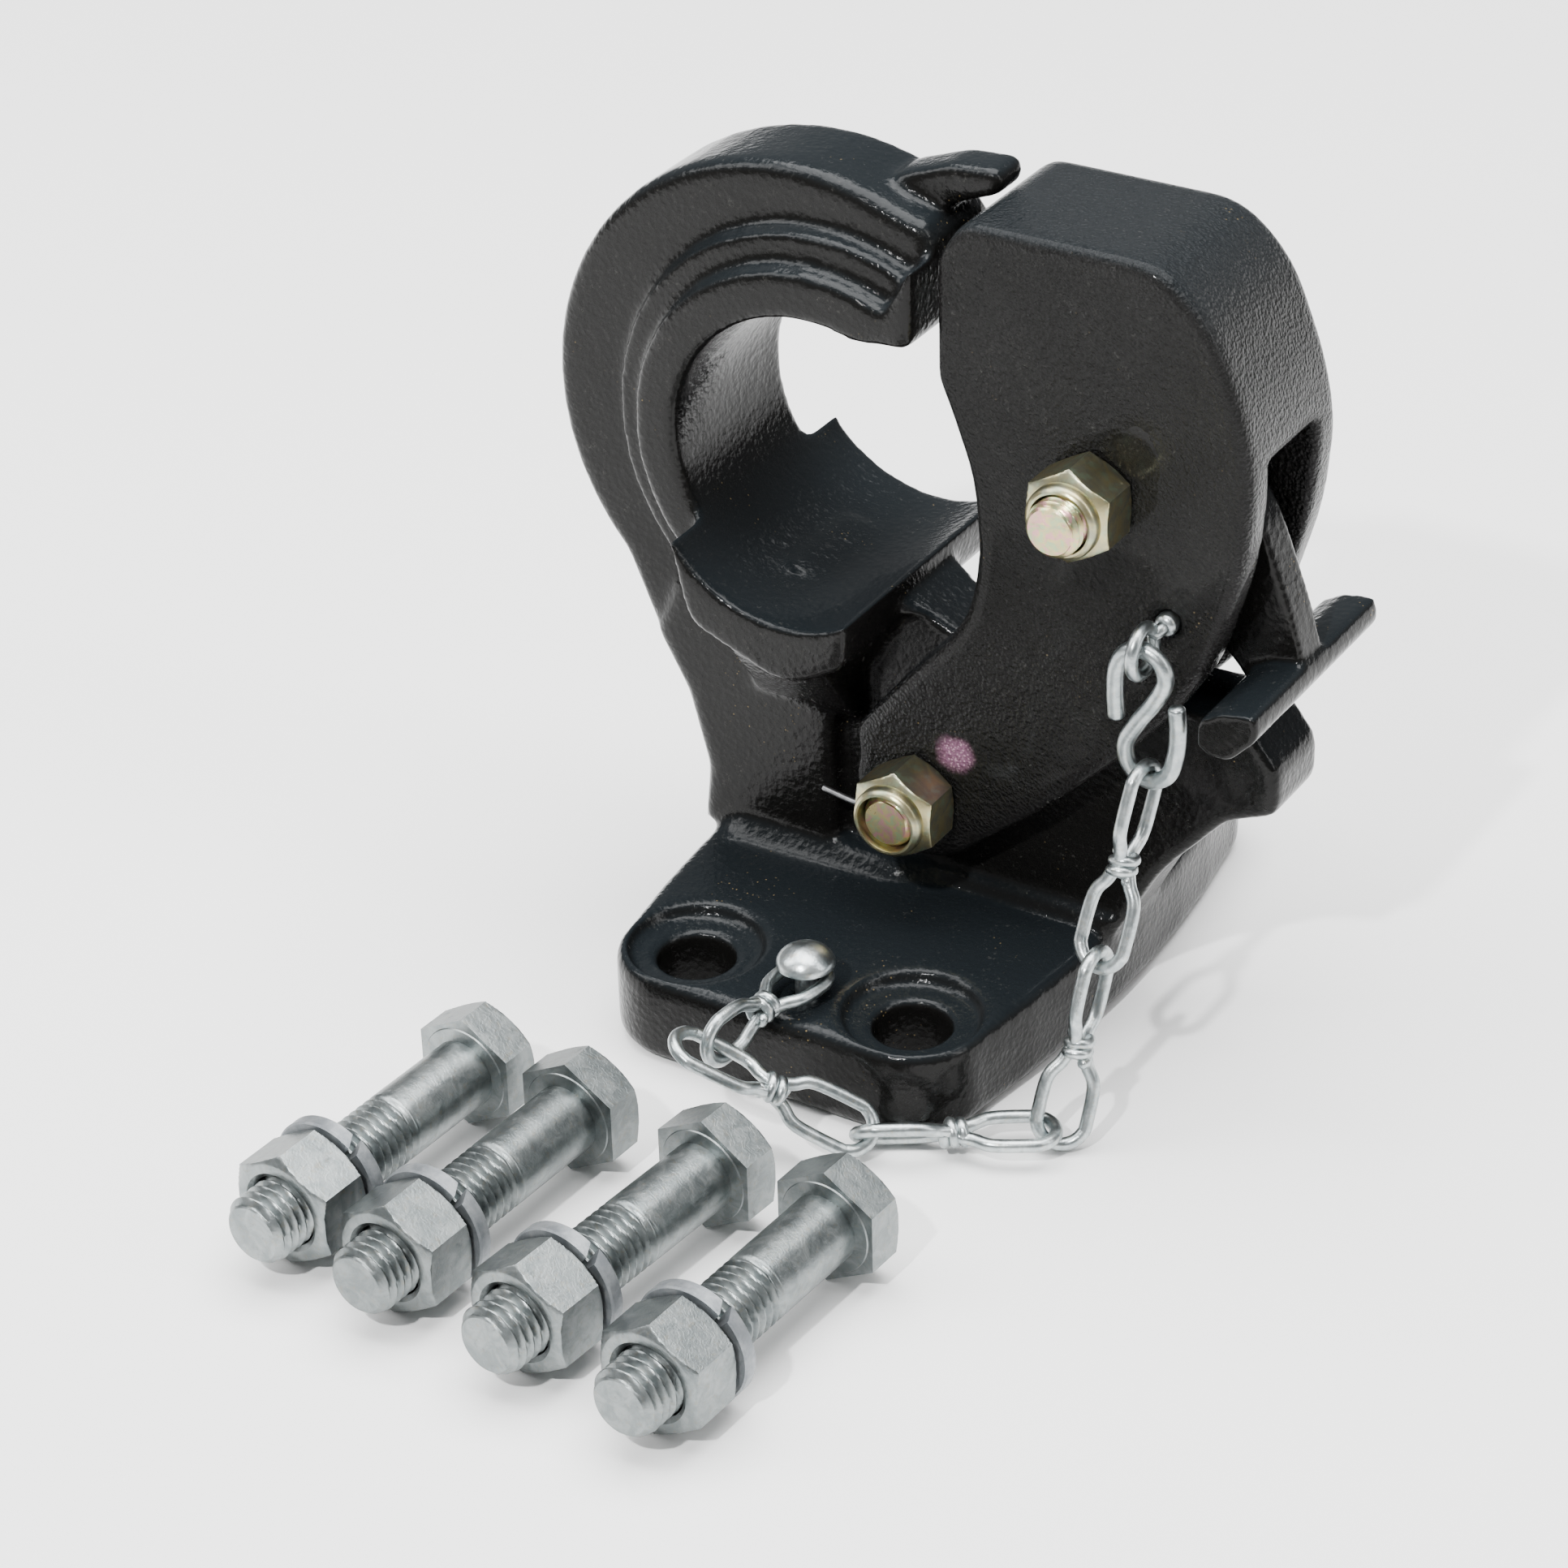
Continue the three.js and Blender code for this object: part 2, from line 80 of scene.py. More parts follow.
class Finish:
    """A material under construction, with one Principled surface."""

    def __init__(self, name):
        self.material = bpy.data.materials.new(name)
        self.material.use_nodes = True
        self.nodes = self.material.node_tree.nodes
        self.shader = self.nodes["Principled BSDF"]
        self.place = self.add("TexCoord", out="Object")

    def feed(self, socket, value):
        if isinstance(value, Socket):
            self.material.node_tree.links.new(value.out, socket)
        else:
            socket.default_value = value

    def add(self, kind, settings=None, inputs=None, out=0):
        node = self.nodes.new("ShaderNode" + kind)
        for key, value in (settings or {}).items():
            setattr(node, key, value)
        for key, value in (inputs or {}).items():
            self.feed(node.inputs[key], value)
        return Socket(self, node.outputs[out])

    def noise(self, scale, detail=3.0, roughness=0.55, warp=0.0):
        inputs = {"Vector": self.place, "Scale": scale, "Detail": detail}
        inputs.update({"Roughness": roughness, "Distortion": warp})
        return self.add("TexNoise", None, inputs)

    def cells(self, scale):
        return self.add("TexVoronoi", None, {"Vector": self.place, "Scale": scale})

    def mix(self, factor, a, b):
        return self.add("Mix", {"data_type": "RGBA"}, {0: factor, 6: a, 7: b}, out=2)

    def bump(self, height, depth, below=None):
        inputs = {"Height": height, "Distance": depth, "Strength": 1.0}
        if below:
            inputs["Normal"] = below
        return self.add("Bump", None, inputs)

    def facing(self, axis):
        normal = self.add("NewGeometry", out="Normal")
        return self.add("SeparateXYZ", None, {"Vector": normal}, out=axis)

    def spot(self, centre, radius, soft=0.35):
        """1 within a ragged round spot, and 0 outside it."""
        settings = {"operation": "DISTANCE"}
        away = self.add("VectorMath", settings, {0: self.place, 1: centre}, out="Value")
        wobble = self.noise(180.0, 3.0) * (radius * 0.8)
        return 1.0 - (away + wobble).ramp(radius, radius * (1.0 + soft) + radius * 0.4)

    def surface(self, **values):
        for name, value in values.items():
            self.feed(self.shader.inputs[name.replace("_", " ")], value)
        return self.material


def gloss_paint(name, grain, grain_depth, roughness, pink_at=None, smooth_at=None):
    """Thick black paint over a rough skin, with a painted bluish reflection on faces turned up, dust, golden
    scuffs and, where asked, a pink mark.
    """
    paint = Finish(name)
    broad = paint.noise(22.0, 4.0, 0.6)
    streaks = paint.noise(90.0, 5.0, 0.65, 1.2)
    dust = paint.noise(900.0, 3.0, 0.7).ramp(0.56, 0.74) * streaks.ramp(0.42, 0.7)
    # Painted reflection: faces turned up are mixed towards a pale bluish grey, standing in for the overhead
    # softbox seen in the gloss.
    upward_sheen_mask = paint.facing("Z").ramp(0.25, 0.95)
    black = paint.mix(broad, (0.0030, 0.0029, 0.0027, 1), (0.0070, 0.0068, 0.0064, 1))
    painted_sheen = paint.mix(upward_sheen_mask * 0.45, black, (0.012, 0.017, 0.021, 1))
    dusty = paint.mix(dust * 0.28, painted_sheen, (0.10, 0.098, 0.09, 1))
    fleck_cells = paint.cells(620.0)
    flecks = (1.0 - fleck_cells.ramp(0.05, 0.17)) * paint.noise(48.0, 4.0).ramp(0.57, 0.68)
    colour = paint.mix(flecks * 0.5, dusty, (0.30, 0.22, 0.10, 1))
    if pink_at:
        blot = paint.spot(pink_at, 0.0042)
        sparkle = paint.cells(1500.0).ramp(0.1, 0.5)
        pink = paint.mix(sparkle, (0.50, 0.30, 0.38, 1), (0.20, 0.09, 0.15, 1))
        colour = paint.mix(blot * 0.85, colour, pink)
    pebbles = paint.noise(grain, 4.0, 0.6) + paint.cells(grain * 1.3) * 0.5
    if smooth_at:
        pebbles = pebbles * (1.0 - paint.spot(smooth_at, 0.0075, 0.2))
    waves = paint.bump(paint.noise(38.0, 2.0, 0.4), 0.0006)
    pits = paint.bump(pebbles, grain_depth, waves)
    peel = paint.bump(paint.noise(1300.0, 2.0), 0.00004, pits)
    gloss = roughness + streaks * 0.07 + dust * 0.35 + flecks * 0.2
    paint.surface(
        Base_Color=colour, Roughness=gloss, Normal=peel, Coat_Weight=0.12 + broad * 0.15,
    )
    paint.surface(Metallic=0.0, Coat_Roughness=0.05, Coat_IOR=1.3, IOR=1.2)
    return paint.material


def baked(piece):
    """The piece with its modifiers worked into its mesh."""
    bpy.context.view_layer.update()
    seen = piece.evaluated_get(bpy.context.evaluated_depsgraph_get())
    piece.data = bpy.data.meshes.new_from_object(seen)
    piece.modifiers.clear()
    return piece


def dress(piece, node, body, material):
    """The piece stands for a CAD node, moves with its body and wears the material."""
    piece.data.materials.clear()
    piece.data.materials.append(material)
    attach(piece, body)
    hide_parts(node)
    return piece


def forging(node, voxel, rounds):
    """A finer copy of a CAD node, with its edges worn round as forging or casting leaves them."""
    piece = bpy.data.objects.new(node + "_forging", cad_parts[node].data.copy())
    bpy.context.scene.collection.objects.link(piece)
    fine = piece.modifiers.new("fine", "REMESH")
    fine.mode = "VOXEL"
    fine.voxel_size = voxel
    fine.use_smooth_shade = True
    soft = piece.modifiers.new("soft", "SMOOTH")
    soft.factor = 0.5
    soft.iterations = rounds
    return baked(piece)


hook_paint = gloss_paint("hook paint", 520.0, 0.0002, 0.09)
dress(forging("hook_body", 0.0009, 26), "hook_body", "hook", hook_paint)


# ---- latch ----
# The cast upper jaw: two cheeks joined over the top and down the outside.
# Sand casting leaves a coarse pebbled face under the gloss paint, smoother where it was ground
# behind the upper nut. A pink inspection mark is dabbed on the lower cheek.
mark_place = (0.0165, -0.0205, 0.063)
ground_place = (0.060, -0.0205, 0.149)
latch_paint = gloss_paint("latch paint", 900.0, 0.0008, 0.08, mark_place, ground_place)
dress(forging("latch", 0.0008, 24), "latch", "latch", latch_paint)


# ---- lock handle ----
# The trigger that props the latch shut against the ear, forged in one piece with its cross bar.
# Painted in the same gloss black as the hook, handled more, so a little smoother.
handle_paint = gloss_paint("handle paint", 420.0, 0.00018, 0.09)
dress(forging("lock_handle", 0.0006, 16), "lock_handle", "lock_handle", handle_paint)


# ---- pivot bolts ----
# Two half-inch bolts, rolled thread, yellow zinc plated, on which the latch and handle turn.
# Each is put in from the far side, so its chamfered thread end shows beyond its lock nut.
def ring_mesh(name, rings, sides, closed=False):
    """A mesh about the Y axis from rings of (y, radius or radius by angle). Closed joins the ends."""
    points = []
    for y, radius in rings:
        for i in range(sides):
            a = tau * i / sides
            r = radius(a) if callable(radius) else radius
            points.append((r * cos(a), y, r * sin(a)))
    faces = []
    count = len(rings)
    for j in range(count if closed else count - 1):
        k = (j + 1) % count
        for i in range(sides):
            n = (i + 1) % sides
            faces.append((j * sides + i, j * sides + n, k * sides + n, k * sides + i))
    if not closed:
        faces.append(tuple(reversed(range(sides))))
        faces.append(tuple(range((count - 1) * sides, count * sides)))
    return solid_mesh(name, points, faces)


def solid_mesh(name, points, faces, sharp=32.0):
    """A piece with its faces turned outward, shaded smooth except across sharp edges."""
    mesh = bpy.data.meshes.new(name)
    mesh.from_pydata(points, [], faces)
    mesh.validate()
    piece = bpy.data.objects.new(name, mesh)
    bpy.context.scene.collection.objects.link(piece)
    bpy.context.view_layer.objects.active = piece
    bpy.ops.object.select_all(action="DESELECT")
    piece.select_set(True)
    bpy.ops.object.mode_set(mode="EDIT")
    bpy.ops.mesh.select_all(action="SELECT")
    bpy.ops.mesh.normals_make_consistent(inside=False)
    bpy.ops.object.mode_set(mode="OBJECT")
    mesh.shade_smooth()
    mesh.set_sharp_from_angle(angle=radians(sharp))
    return piece


def hexagon(flat, limit=1.0):
    """Radius by angle of a hexagon across its flats, cut down to a circle of the limit radius."""
    def radius(a):
        off = (a + pi / 6) % (pi / 3) - pi / 6
        return min(flat / 2 / cos(off), limit)
    return radius


def hex_rings(flat, low, high, ease_low=True, ease_high=True):
    """Rings up the side of a hexagon whose chosen ends are turned to a 30 degree chamfer."""
    slope = tan(radians(30))
    face = 0.475 * flat
    deep = (flat / 3 ** 0.5 - face) * slope
    steps = [deep * k / 6 for k in range(7)]
    rings = []
    if ease_low:
        rings += [(low + d, hexagon(flat, face + d / slope)) for d in steps]
    else:
        rings += [(low, hexagon(flat))]
    if ease_high:
        rings += [(high - d, hexagon(flat, face + d / slope)) for d in reversed(steps)]
    else:
        rings += [(high, hexagon(flat))]
    return rings


def thread_rings(major, pitch, low, high, chamfer):
    """Rings of a rolled thread from its chamfered tip at low to where it runs out at high."""
    depth = 0.58 * pitch
    count = int((high - low) / pitch * 9)
    rings = []
    for k in range(count + 1):
        y = low + (high - low) * k / count
        cone = major - chamfer + (y - low)
        run_out = (high - y) / (1.5 * pitch)

        def radius(a, y=y, cone=cone, run_out=run_out):
            phase = abs(((y / pitch - a / tau) % 1.0) * 2 - 1)
            groove = depth * min(1.0, max(0.0, (phase - 0.12) / 0.74))
            return min(major - groove * min(1.0, max(0.0, run_out)), cone)
        rings.append((y, radius))
    return rings


zinc_yellow = Finish("yellow zinc")
patches = zinc_yellow.noise(150.0, 4.0, 0.6, 2.0)
film = zinc_yellow.noise(420.0, 2.0, 0.5, 1.0)
straw = zinc_yellow.mix(patches.ramp(0.35, 0.7), (0.56, 0.46, 0.22, 1), (0.38, 0.38, 0.24, 1))
green = zinc_yellow.mix(film.ramp(0.52, 0.66) * 0.6, straw, (0.30, 0.48, 0.28, 1))
tinted = zinc_yellow.mix((1.0 - film.ramp(0.36, 0.5)) * 0.75, green, (0.60, 0.28, 0.32, 1))
grime = zinc_yellow.noise(260.0, 5.0, 0.7).ramp(0.55, 0.8)
zinc_yellow.surface(
    Base_Color=zinc_yellow.mix(grime * 0.5, tinted, (0.10, 0.085, 0.06, 1)),
    Roughness=0.22 + patches * 0.16 + grime * 0.2,
    Metallic=1.0,
    Normal=zinc_yellow.bump(zinc_yellow.noise(900.0, 3.0), 0.00003),
)

rod = 0.00635                     # radius of the half-inch rod
rod_pitch = 0.00195
wrench = 0.01905                  # across the flats of its head and nut
cheek = 0.0208                    # from the middle of the latch to a head's or nut's seat
thread_end = -0.0105
pivots = [
    ("latch_pivot", (0.007, 0.050), -0.035, "hook"),
    ("handle_pivot", (0.050, 0.136), -0.0395, "latch"),
]
for name, (x, z), tip, body in pivots:
    rings = thread_rings(rod, rod_pitch, tip, thread_end, 0.0012)
    rings += [(thread_end + 0.0005, rod), (cheek, rod)]
    head = hex_rings(wrench, cheek, cheek + 0.008, ease_low=False)
    bolt = ring_mesh(name + "_bolt_turned", rings + head, 72)
    bolt.location = (x, 0, z)
    dress(bolt, name + "_bolt", body, zinc_yellow.material)


# ---- pivot lock nuts ----
# Prevailing-torque nuts for the half-inch bolts: a chamfered hexagon with a rolled-in round collar
# that grips the thread. Cold formed and plated yellow zinc; one facet keeps a pink mark.
nut_zinc = Finish("marked yellow zinc")
wash = nut_zinc.noise(120.0, 4.0, 0.6, 1.5)
straw = nut_zinc.mix(wash.ramp(0.35, 0.68), (0.42, 0.37, 0.20, 1), (0.26, 0.26, 0.19, 1))
hazy = nut_zinc.mix(nut_zinc.noise(380.0, 3.0).ramp(0.5, 0.7) * 0.5, straw, (0.34, 0.44, 0.30, 1))
dab = nut_zinc.spot((0.002, -0.027, -0.008), 0.0022)
marked = nut_zinc.mix(dab * 0.8, hazy, (0.52, 0.26, 0.38, 1))
nut_zinc.surface(
    Base_Color=marked,
    Roughness=0.24 + wash * 0.18 + dab * 0.2,
    Metallic=1.0 - dab * 0.7,
    Normal=nut_zinc.bump(nut_zinc.noise(700.0, 4.0), 0.00005),
)
collar = 0.0084                   # radius of the round collar
bore = 0.0067
for name, (x, z), tip, body in pivots:
    hex_end = -0.0323
    collar_end = hex_end - 0.0034
    around = [
        (collar_end, bore + 0.0002), (collar_end, collar - 0.0010), (collar_end + 0.0004, collar - 0.0004),
        (collar_end + 0.0012, collar), (hex_end - 0.0003, collar),
    ]
    around += hex_rings(wrench, hex_end, -cheek)
    around += [(-cheek, bore + 0.0009), (-cheek - 0.0005, bore), (collar_end + 0.0007, bore)]
    nut = ring_mesh(name + "_nut_formed", around, 72, closed=True)
    nut.location = (x, 0, z)
    dress(nut, name + "_nut", body, nut_zinc.material)


# ---- springs ----
# The handle's return spring, coiled round its pivot inside the latch, and the leg of the latch
# spring that shows under the lower nut. Both are hard-drawn wire, oiled and lightly tarnished.
def smooth_path(points, per_span):
    """Points of a Catmull-Rom curve through the given ones."""
    path = [Vector(p) for p in points]
    ends = [path[0] * 2 - path[1]] + path + [path[-1] * 2 - path[-2]]
    out = []
    for i in range(1, len(ends) - 2):
        a, b, c, d = ends[i - 1:i + 3]
        for k in range(per_span):
            t = k / per_span
            out.append(0.5 * (
                2 * b + (c - a) * t + (2 * a - 5 * b + 4 * c - d) * t ** 2
                + (3 * b - a - 3 * c + d) * t ** 3
            ))
    return out + [path[-1]]


def wire(name, path, radius, sides=14):
    """A round wire along a path, carried along without twisting, with rounded ends."""
    path = [Vector(p) for p in path]
    steps = [(b - a).normalized() for a, b in zip(path, path[1:])]
    along = [steps[0]] + [(a + b).normalized() for a, b in zip(steps, steps[1:])] + [steps[-1]]
    side = along[0].orthogonal().normalized()
    sections = []
    for i, (point, ahead) in enumerate(zip(path, along)):
        side = (side - ahead * side.dot(ahead)).normalized()
        sections.append([point, ahead, side.copy(), radius])
    for at, way in ((0, -1), (-1, 1)):
        point, ahead, cross, r = sections[at]
        caps = []
        for k in range(1, 5):
            a = k / 4 * radians(84)
            shift = ahead * (way * r * 0.6 * sin(a))
            caps.append([point + shift, ahead, cross, r * cos(a)])
        sections = caps[::-1] + sections if at == 0 else sections + caps
    points = []
    for point, ahead, cross, r in sections:
        other = ahead.cross(cross)
        for i in range(sides):
            a = tau * i / sides
            points.append(point + cross * (r * cos(a)) + other * (r * sin(a)))
    faces = []
    for j in range(len(sections) - 1):
        for i in range(sides):
            n = (i + 1) % sides
            faces.append((j * sides + i, j * sides + n, (j + 1) * sides + n, (j + 1) * sides + i))
    faces.append(tuple(range(sides)))
    faces.append(tuple(range((len(sections) - 1) * sides, len(sections) * sides)))
    return solid_mesh(name, points, faces, 50.0)


drawn = Finish("drawn wire")
tarnish = drawn.noise(300.0, 4.0, 0.6)
drawn.surface(
    Base_Color=drawn.mix(tarnish.ramp(0.35, 0.7), (0.20, 0.20, 0.205, 1), (0.34, 0.345, 0.35, 1)),
    Roughness=0.28 + tarnish * 0.2,
    Metallic=1.0,
    Normal=drawn.bump(drawn.noise(1200.0, 2.0), 0.00002),
)
coil_radius = 0.0082
coil = []
for k in range(49):
    a = tau * k / 24
    coil.append((0.050 + coil_radius * cos(a), -0.0102 + 0.003 * k / 48, 0.136 + coil_radius * sin(a)))
dress(wire("handle_spring_wound", coil, 0.0008), "handle_spring", "latch", drawn.material)
leg = smooth_path([(-0.017, -0.0216, 0.045), (-0.010, -0.0218, 0.044), (-0.0035, -0.022, 0.0435)], 8)
dress(wire("latch_spring_leg", leg, 0.0007), "latch_spring", "hook", drawn.material)


# ---- lock pin ----
# A plain pin whose outer end is drawn down to wire and bent round into an eye for the S-hook.
# Bright zinc plate, bluish where clean and greyed where it has been handled.
def bright_zinc(name, tone, scale):
    zinc = Finish(name)
    cloud = zinc.noise(scale, 4.0, 0.6, 0.8)
    film = zinc.noise(scale * 3.1, 3.0, 0.6)
    clean = zinc.mix(cloud.ramp(0.32, 0.7), (0.36, 0.40, 0.41, 1), (0.58, 0.62, 0.62, 1))
    warm = zinc.mix(film.ramp(0.55, 0.72) * 0.4, clean, (0.52, 0.46, 0.34, 1))
    dirt = zinc.noise(scale * 1.7, 6.0, 0.7).ramp(0.56, 0.78)
    specks = 1.0 - zinc.cells(scale * 5.0).ramp(0.06, 0.16)
    stained = zinc.mix(dirt * 0.55 + specks * 0.3, warm, (0.12, 0.125, 0.12, 1))
    scratches = zinc.add("TexWave", {"wave_type": "BANDS", "bands_direction": "DIAGONAL"}, {
        "Vector": zinc.place, "Scale": scale * 1.5, "Distortion": 18.0, "Detail": 4.0,
    }, out=1)
    height = zinc.noise(scale * 6.0, 3.0) + scratches * 0.25
    return zinc.surface(
        Base_Color=zinc.mix(tone, stained, (0.035, 0.042, 0.040, 1)),
        Roughness=0.24 + cloud * 0.14 + dirt * 0.22 + tone * 0.1,
        Metallic=1.0 - dirt * 0.25,
        Normal=zinc.bump(height, 0.00003),
    )


pin_zinc = bright_zinc("pin zinc", 0.2, 260.0)
pin_ends = [(0.068, -0.006, 0.110), (0.068, -0.021, 0.110)]
drawn_down = smooth_path([pin_ends[1], (0.0678, -0.0228, 0.1098), (0.067, -0.0242, 0.109)], 5)
eye_radius = 0.0052
eye_wire = []
for k in range(49):
    a = radians(32 + 350 * k / 48)
    eye_wire.append((0.0665, -0.0285 + eye_radius * cos(a), 0.107 + eye_radius * sin(a)))
pin = wire("lock_pin_shank", smooth_path(pin_ends, 4), 0.0026)
eye = wire("lock_pin_eye", drawn_down[:-1] + eye_wire, 0.0015)
dress(pin, "lock_pin", "lock_pin", pin_zinc)
dress(eye, "lock_pin", "lock_pin", pin_zinc)


# ---- S-hook ----
# Bent from round wire with sheared and tumbled ends: the upper bow through the pin's eye, the lower
# bow for the chain. Same bright zinc, a little greyer.
s_zinc = bright_zinc("s-hook zinc", 0.25, 300.0)
bends = [
    (0.0606, 0.090), (0.0602, 0.096), (0.0606, 0.102), (0.0628, 0.106), (0.0666, 0.1073), (0.0706, 0.1054),
    (0.072, 0.101), (0.0696, 0.0955), (0.066, 0.090), (0.063, 0.084), (0.064, 0.0786), (0.0685, 0.076),
    (0.073, 0.0784), (0.0748, 0.084), (0.0752, 0.090), (0.0748, 0.095),
]
s_path = smooth_path([(x, -0.0285, z) for x, z in bends], 8)
dress(wire("s_hook_bent", s_path, 0.0019, 18), "s_hook", "s_hook", s_zinc)


# ---- safety chain ----
# Five links, each one length of wire bent into a loop at both ends, with its tails wound round the
# middle. Bright zinc with darker grime in random patches.
chain_wire = 0.0015
loop_half = 0.0054                # from a loop's middle line to its wire
knot_radius = 0.0023


def chain_loop(start, along, side, length):
    """The path of one loop, out from the link's middle, round the bow and back."""
    centre = start + along * (length - loop_half)
    bow = []
    for k in range(9):
        a = pi * k / 8
        bow.append(centre + side * (loop_half * cos(a)) + along * (loop_half * sin(a)))
    legs = [(0.0, 0.0014), (0.0036, 0.0028), (0.0078, 0.0051)]
    there = [start + along * far + side * out for far, out in legs]
    home = [start + along * far - side * out for far, out in reversed(legs)]
    return smooth_path(there + bow + home, 5)


def winding(middle, along, side, turns, length):
    """The path of the tails wound round the link's middle."""
    other = along.cross(side)
    steps = int(turns * 16)
    path = []
    for k in range(steps + 1):
        a = tau * k / 16
        here = middle + along * (length * (k / steps - 0.5))
        path.append(here + side * (knot_radius * cos(a)) + other * (knot_radius * sin(a)))
    return path


chain_zinc = bright_zinc("chain zinc", 0.1, 320.0)
links = [
    ((0.0684, -0.0280, 0.0796), (0.0665, -0.0474, 0.0386), (90, 0), "chain_link_1"),
    ((0.0667, -0.0459, 0.0418), (0.0660, -0.0640, 0.0022), (90, -32), "chain_link_2"),
    ((0.0660, -0.0640, 0.0057), (0.0293, -0.0870, 0.0060), (0, 45), "hook"),
    ((0.0324, -0.0855, 0.0055), (-0.0063, -0.1022, 0.0280), (-45, 0), "hook"),
    ((-0.0010, -0.0980, 0.0245), (0.0048, -0.0608, 0.0265), (90, 0), "hook"),
]
for i, (start, end, turns, body) in enumerate(links, 1):
    start, end = Vector(start), Vector(end)
    along = (end - start).normalized()
    level = along.cross(Vector((0, 0, 1))).normalized()
    middle = (start + end) / 2
    half = (end - start).length / 2
    first = Quaternion(along, radians(turns[0])) @ level
    second = Quaternion(along, radians(turns[1])) @ level
    pieces = [
        wire(f"chain_link_{i}_first_loop", chain_loop(middle, -along, first, half), chain_wire),
        wire(f"chain_link_{i}_second_loop", chain_loop(middle, along, second, half), chain_wire),
        wire(f"chain_link_{i}_winding", winding(middle, along, level, 2.6, 0.0058), 0.00122),
    ]
    for piece in pieces:
        dress(piece, f"chain_link_{i}", body, chain_zinc)


# ---- chain rivet ----
# A dome-headed drive rivet that holds the chain's last loop to the plate, its head pressed smooth.
# Bright zinc, at the lightest tone of all the zinc parts.
rivet_zinc = bright_zinc("rivet zinc", 0.0, 240.0)
profile = [
    (0.017, 0.0025), (0.029, 0.0025), (0.02905, 0.0062), (0.0293, 0.0066), (0.0302, 0.00655),
    (0.031, 0.0062), (0.032, 0.0054), (0.0328, 0.0043), (0.0334, 0.003), (0.0338, 0.0016), (0.03395, 0.0005),
]
dome = ring_mesh("chain_rivet_pressed", profile, 48)
dome.matrix_world = Matrix.Translation((0.004, -0.065, 0)) @ Matrix.Rotation(pi / 2, 4, "X")
dress(dome, "chain_rivet", "hook", rivet_zinc)


# ---- mounting bolts, nuts and lock washers ----
# Four loose sets lie on the ground: a hexagon bolt of 5/8 inch with a rolled coarse thread, its
# nut run part way on, and a split lock washer behind it. Bolts and nuts are bright zinc, each batch
# a slightly different tone; the washers are spring steel with a duller mechanical zinc.
def split_washer(name, inner, outer, low, thick, gap_at):
    """A spring ring of square section, cut through on a slant and sprung so its ends stand apart."""
    steps = 72
    gap = 0.16                    # angle left open by the slit, and the angle it slants over
    slant = 0.17
    rise = 0.0005
    bevel = 0.0004
    top = thick - rise
    section = [
        (inner + bevel, 0), (outer - bevel, 0), (outer, bevel), (outer, top - bevel),
        (outer - bevel, top), (inner + bevel, top), (inner, top - bevel), (inner, bevel),
    ]
    points = []
    for k in range(steps + 1):
        share = k / steps
        for r, y in section:
            lean = slant * (y / thick - 0.5)
            a = gap_at + gap / 2 + (tau - gap) * share + lean
            points.append((r * cos(a), low + y + rise * share, r * sin(a)))
    n = len(section)
    faces = []
    for k in range(steps):
        here = k * n
        for i in range(n):
            after = (i + 1) % n
            faces.append((here + i, here + after, here + n + after, here + n + i))
    faces += [tuple(range(n)), tuple(range(steps * n, (steps + 1) * n))]
    return solid_mesh(name, points, faces)


washer_zinc = Finish("dull washer zinc")
mottle = washer_zinc.noise(240.0, 5.0, 0.65)
grain = washer_zinc.noise(1500.0, 3.0, 0.7)
pale = washer_zinc.mix(mottle.ramp(0.3, 0.72), (0.19, 0.205, 0.22, 1), (0.31, 0.325, 0.335, 1))
rust = washer_zinc.noise(150.0, 6.0, 0.7).ramp(0.66, 0.76)
washer_zinc.surface(
    Base_Color=washer_zinc.mix(rust * 0.4, pale, (0.14, 0.09, 0.05, 1)),
    Roughness=0.42 + grain * 0.2 + rust * 0.2,
    Metallic=0.9 - rust * 0.5,
    Normal=washer_zinc.bump(grain, 0.00005),
)
shank = 0.00794                   # radius of the 5/8 inch bolt
bolt_pitch = 0.00231
bolt_flats = 0.0238
thread_length = 0.046
under_head = 0.070                # from the tip to the head
nut_from = 0.009
nut_to = 0.0229
nut_bore = 0.00835
washer_from = 0.0232
washer_thick = 0.004
slit_at = radians(55.6)
axis_height = 0.0138
sets = [
    (-0.056, -0.188, 4, 0.55),
    (-0.027, -0.191, 4, 0.66),
    (0.007, -0.194, 6, 0.6),
    (0.041, -0.197, 4, 0.62),
]
for i, (x, y, turn, tone) in enumerate(sets, 1):
    lying = Matrix.Translation((x, y, axis_height)) @ Matrix.Rotation(radians(-turn), 4, "Z")
    zinc = bright_zinc(f"set {i} zinc", tone, 200.0 + 20 * i)
    rings = thread_rings(shank, bolt_pitch, 0.0, thread_length, 0.0016)
    rings += [
        (thread_length + 0.001, shank), (under_head - 0.0005, shank),
        (under_head - 0.0003, 0.0107), (under_head, 0.0109),
    ]
    rings += hex_rings(bolt_flats, under_head, under_head + 0.010, ease_low=False)
    bolt = ring_mesh(f"mounting_bolt_{i}_rolled", rings, 96)
    around = hex_rings(bolt_flats, nut_from, nut_to)
    around += [
        (nut_to, 0.0094), (nut_to - 0.0009, nut_bore),
        (nut_from + 0.0009, nut_bore), (nut_from, 0.0094),
    ]
    nut = ring_mesh(f"mounting_nut_{i}_formed", around, 96, closed=True)
    washer = split_washer(
        f"lock_washer_{i}_coiled", 0.00824, 0.0136, washer_from, washer_thick, slit_at,
    )
    for piece in (bolt, nut, washer):
        piece.data.transform(lying)
    dress(bolt, f"mounting_bolt_{i}", "hook", zinc)
    dress(nut, f"mounting_nut_{i}", f"nut_{i}", zinc)
    dress(washer, f"lock_washer_{i}", f"washer_{i}", washer_zinc.material)


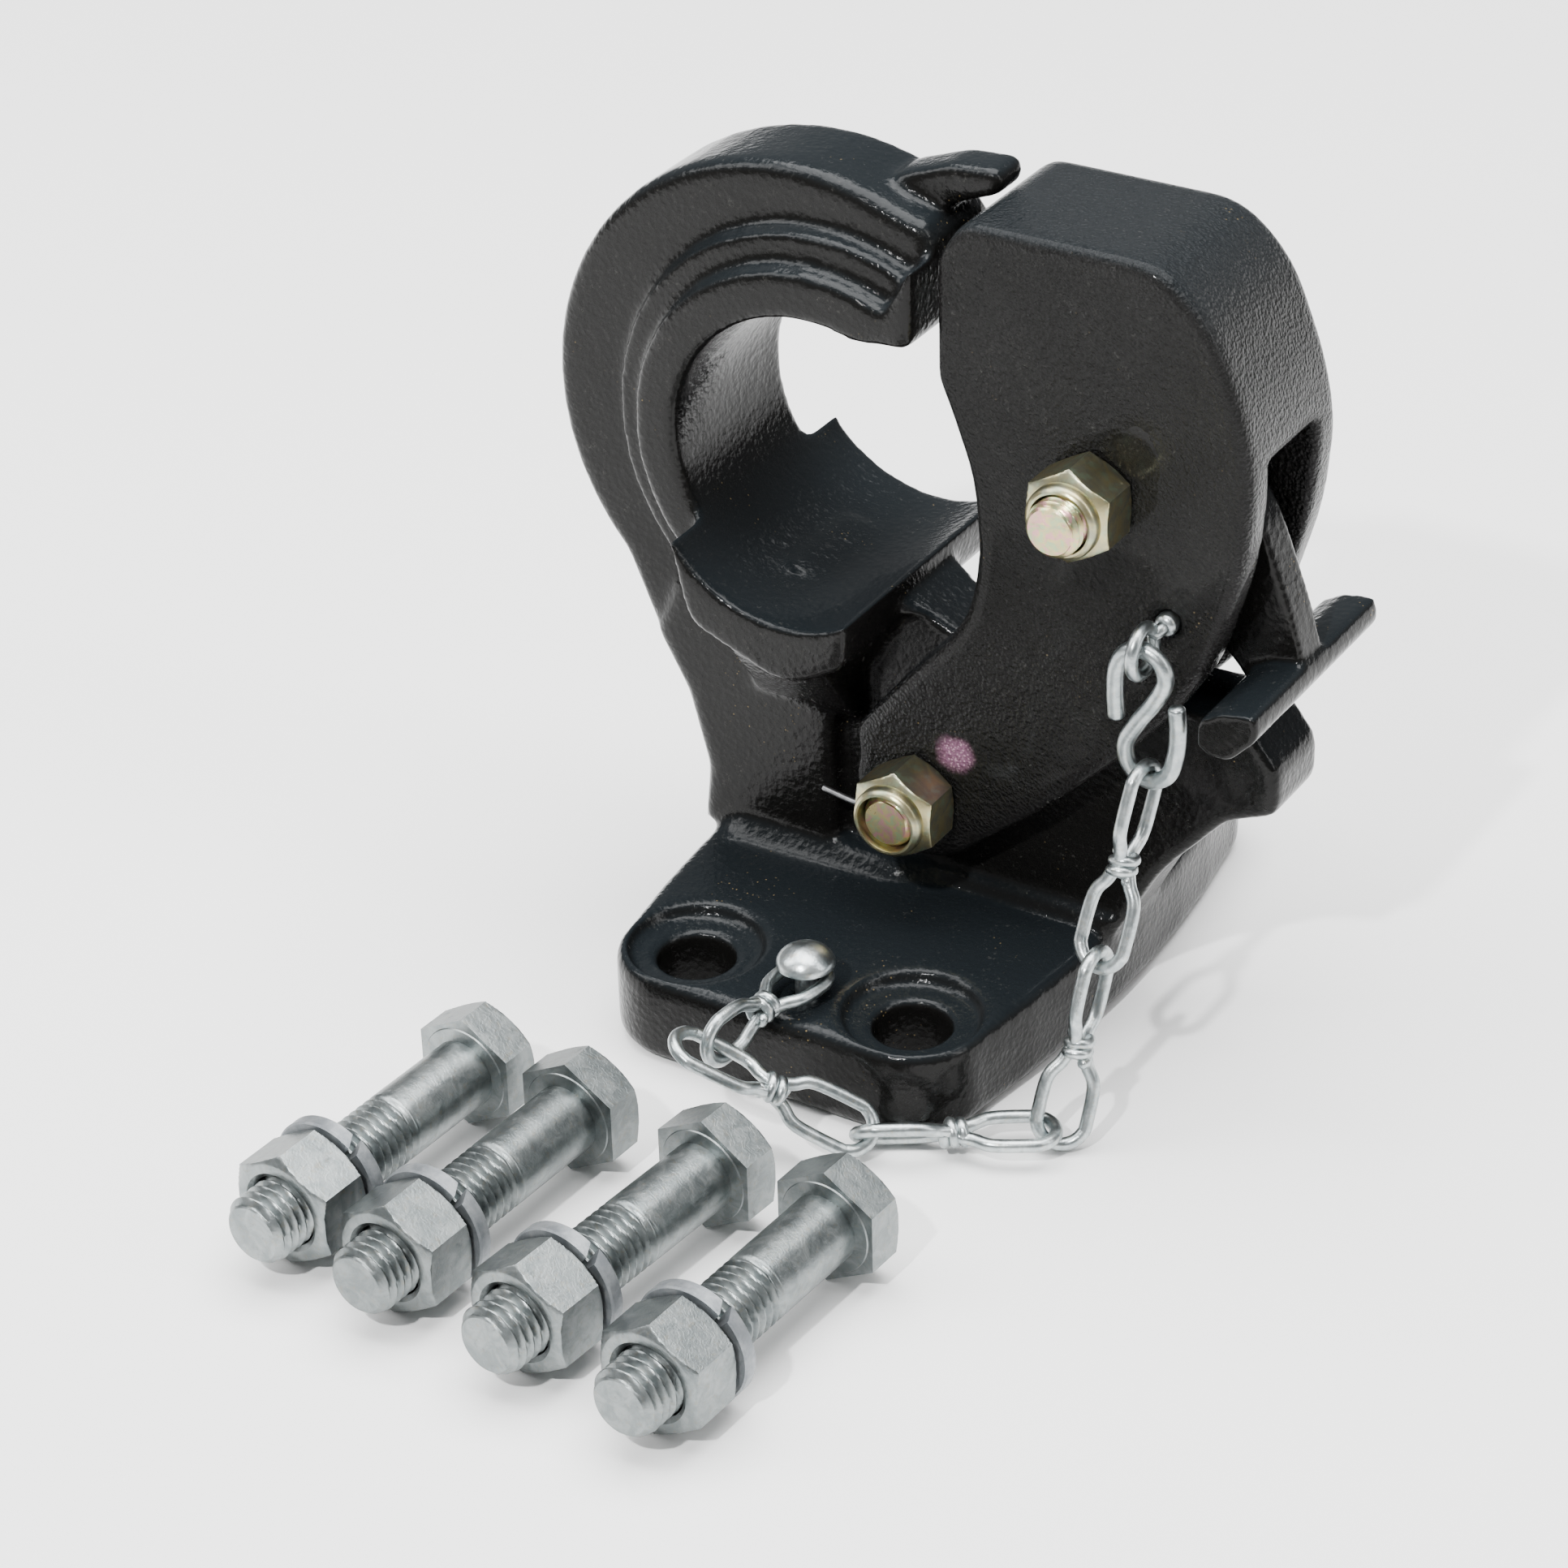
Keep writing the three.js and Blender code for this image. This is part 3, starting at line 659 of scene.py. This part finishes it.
# ---- ground, light and camera ----
# A pale floor that runs off into a dim surround, under a broad overhead softbox. A softbox on the
# left and a strip on the right draw crisp lines along the paint, and a small lamp makes it sparkle.
ground_look = Finish("pale ground")
ground_look.surface(
    Base_Color=ground_look.mix(
        ground_look.noise(3.0, 4.0), (0.86, 0.86, 0.86, 1), (0.90, 0.90, 0.895, 1),
    ),
    Roughness=0.75 + ground_look.noise(40.0) * 0.1,
)
ground_mesh = bpy.data.meshes.new("ground")
ground_mesh.from_pydata([(-6, -6, 0), (6, -6, 0), (6, 6, 0), (-6, 6, 0)], [], [(0, 1, 2, 3)])
ground_mesh.materials.append(ground_look.material)
ground = bpy.data.objects.new("ground", ground_mesh)
ground.location.z = -0.0003
bpy.context.scene.collection.objects.link(ground)

world = bpy.data.worlds.new("white surround")
world.use_nodes = True
surround = world.node_tree.nodes["Background"]
surround.inputs["Color"].default_value = (1.0, 1.0, 1.0, 1)
surround.inputs["Strength"].default_value = 0.32
bpy.context.scene.world = world
lamps = [
    ("overhead softbox", (-0.1, 0.3, 2.4), 2.6, 2.2, 190.0),
    ("left softbox", (-1.1, -0.6, 1.2), 0.7, 0.9, 16.0),
    ("right strip", (1.3, 0.1, 0.9), 0.2, 1.2, 8.0),
    ("small bare lamp", (0.1, -1.2, 1.25), 0.06, 0.06, 28.0),
]
for name, at, wide, tall, power in lamps:
    lamp = bpy.data.lights.new(name, "AREA")
    lamp.shape = "RECTANGLE"
    lamp.size = wide
    lamp.size_y = tall
    lamp.energy = power
    holder = bpy.data.objects.new(name, lamp)
    holder.location = at
    towards = Vector((0, -0.05, 0.08)) - Vector(at)
    holder.rotation_euler = towards.to_track_quat("-Z", "Y").to_euler()
    bpy.context.scene.collection.objects.link(holder)

lens = bpy.data.cameras.new("camera")
lens.lens = 100.93
lens.sensor_width = 36.0
camera = bpy.data.objects.new("camera", lens)
right = Vector((0.8527, 0.5217, -0.0252))
back = Vector((0.4567, -0.7215, 0.5205)).normalized()
right = (right - back * right.dot(back)).normalized()
up = back.cross(right)
turned = Matrix((right, up, back)).transposed().to_4x4()
camera.matrix_world = Matrix.Translation((0.4301, -0.7449, 0.5646)) @ turned
bpy.context.scene.collection.objects.link(camera)
bpy.context.scene.camera = camera
